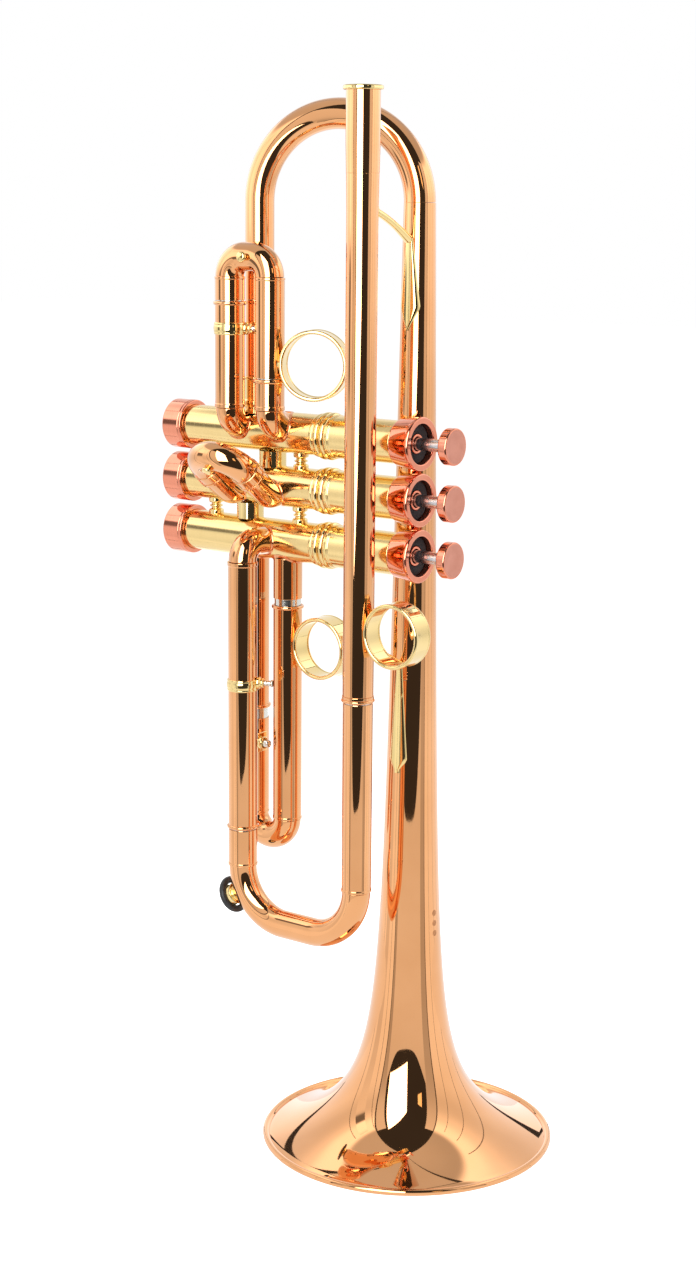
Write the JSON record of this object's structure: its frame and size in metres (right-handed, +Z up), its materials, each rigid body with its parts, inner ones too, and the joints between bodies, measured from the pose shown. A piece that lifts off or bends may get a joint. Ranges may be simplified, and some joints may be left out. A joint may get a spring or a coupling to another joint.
{
  "type": "trumpet",
  "caption": "Three-valve trumpet standing on its bell, with pull slides, finger rings, sprung valves and a drain key.",
  "frame": {"origin": "centre of the plane that the bell's rim rests on", "axes": "+Z up the bell axis to the crook, +X the way the valve buttons point, -Y the side of the leadpipe"},
  "size_m": [0.1921, 0.1368, 0.4821],
  "materials": {
    "copper_lacquer": "polished, lacquered",
    "brass_polished": "polished, lacquered",
    "brass_brushed": "fine brushed, lacquered",
    "cap_copper": "satin copper",
    "nickel_silver": "drawn tube",
    "stem_aluminium": "turned",
    "spring_steel": "wire",
    "black_felt": "felt",
    "black_rubber": "smooth"
  },
  "bodies": {
    "horn": {"bell_flare": "copper_lacquer", "bell_stem": "copper_lacquer", "bell_rim_wire": "brass_polished", "bell_crook": "copper_lacquer", "crook_ferrule": "brass_polished", "leadpipe": "copper_lacquer", "mouthpiece_receiver": "copper_lacquer", "receiver_rim": "brass_polished", "leadpipe_slide_tube": "nickel_silver", "lower_slide_sleeve": "copper_lacquer", "lower_elbow": "copper_lacquer", "fixed_end_rings": "copper_lacquer", "leg_clamp_band": "brass_polished", "clamp_screws": "nickel_silver", "valve_casing_1": "brass_brushed", "valve_casing_2": "brass_brushed", "valve_casing_3": "brass_brushed", "casing_bead_rings": "brass_polished", "casing_posts": "brass_polished", "casing_knuckles": "brass_polished", "top_caps": "cap_copper", "bottom_caps": "cap_copper", "cap_felts": "black_felt", "valve_guides": "brass_polished", "first_elbows": "copper_lacquer", "first_fixed_tubes": "copper_lacquer", "first_clamp": "brass_polished", "second_legs": "copper_lacquer", "third_fixed_tubes": "copper_lacquer", "third_inner_tube": "nickel_silver", "upper_brace": "brass_polished", "lower_brace": "brass_polished", "pinky_ring": "brass_polished", "valve_spring_1": "spring_steel", "valve_spring_2": "spring_steel", "valve_spring_3": "spring_steel"},
    "valve_1": {"valve_button_1": "cap_copper", "valve_stem_1": "stem_aluminium", "piston_1": "nickel_silver"},
    "valve_2": {"valve_button_2": "cap_copper", "valve_stem_2": "stem_aluminium", "piston_2": "nickel_silver"},
    "valve_3": {"valve_button_3": "cap_copper", "valve_stem_3": "stem_aluminium", "piston_3": "nickel_silver"},
    "tuning_slide": {"tuning_bow": "copper_lacquer", "tuning_sleeves": "copper_lacquer", "tuning_inner_tube": "nickel_silver", "water_key_seat": "brass_polished"},
    "drain_ring": {"water_key_ring": "black_rubber"},
    "first_slide": {"first_bow": "copper_lacquer", "first_moving_tubes": "copper_lacquer", "thumb_ring": "brass_polished"},
    "second_slide": {"second_bow": "copper_lacquer", "second_inner_tubes": "nickel_silver"},
    "third_slide": {"third_bow": "copper_lacquer", "third_moving_tubes": "copper_lacquer", "finger_ring": "brass_polished", "third_key_body": "brass_polished"},
    "third_drain_button": {"third_key_plunger": "nickel_silver"}
  },
  "joints": [
    {"name": "valve_1_press", "type": "slide", "parent": "horn", "child": "valve_1", "axis": [-1, 0, 0], "range_m": [0, 0.015], "stiffness_N_per_m": 120, "springref_m": -0.012, "deforming": ["valve_spring_1"]},
    {"name": "valve_2_press", "type": "slide", "parent": "horn", "child": "valve_2", "axis": [-1, 0, 0], "range_m": [0, 0.015], "stiffness_N_per_m": 120, "springref_m": -0.012, "deforming": ["valve_spring_2"]},
    {"name": "valve_3_press", "type": "slide", "parent": "horn", "child": "valve_3", "axis": [-1, 0, 0], "range_m": [0, 0.015], "stiffness_N_per_m": 120, "springref_m": -0.012, "deforming": ["valve_spring_3"]},
    {"name": "tuning_slide_pull", "type": "slide", "parent": "horn", "child": "tuning_slide", "axis": [0, 0, -1], "range_m": [0, 0.03]},
    {"name": "drain_ring_press", "type": "slide", "parent": "tuning_slide", "child": "drain_ring", "axis": [0, 1, 0], "range_m": [0, 0.0009], "stiffness_N_per_m": 200, "springref_m": -0.002},
    {"name": "first_slide_pull", "type": "slide", "parent": "horn", "child": "first_slide", "axis": [0, 0, 1], "range_m": [0, 0.022]},
    {"name": "second_slide_pull", "type": "slide", "parent": "horn", "child": "second_slide", "axis": [0, -0.809, 0.5878], "range_m": [0, 0.01]},
    {"name": "third_slide_pull", "type": "slide", "parent": "horn", "child": "third_slide", "axis": [0, 0, -1], "range_m": [-0.0026, 0.02]},
    {"name": "third_drain_press", "type": "slide", "parent": "third_slide", "child": "third_drain_button", "axis": [-1, 0, 0], "range_m": [0, 0.0012], "stiffness_N_per_m": 200, "springref_m": -0.002}
  ]
}
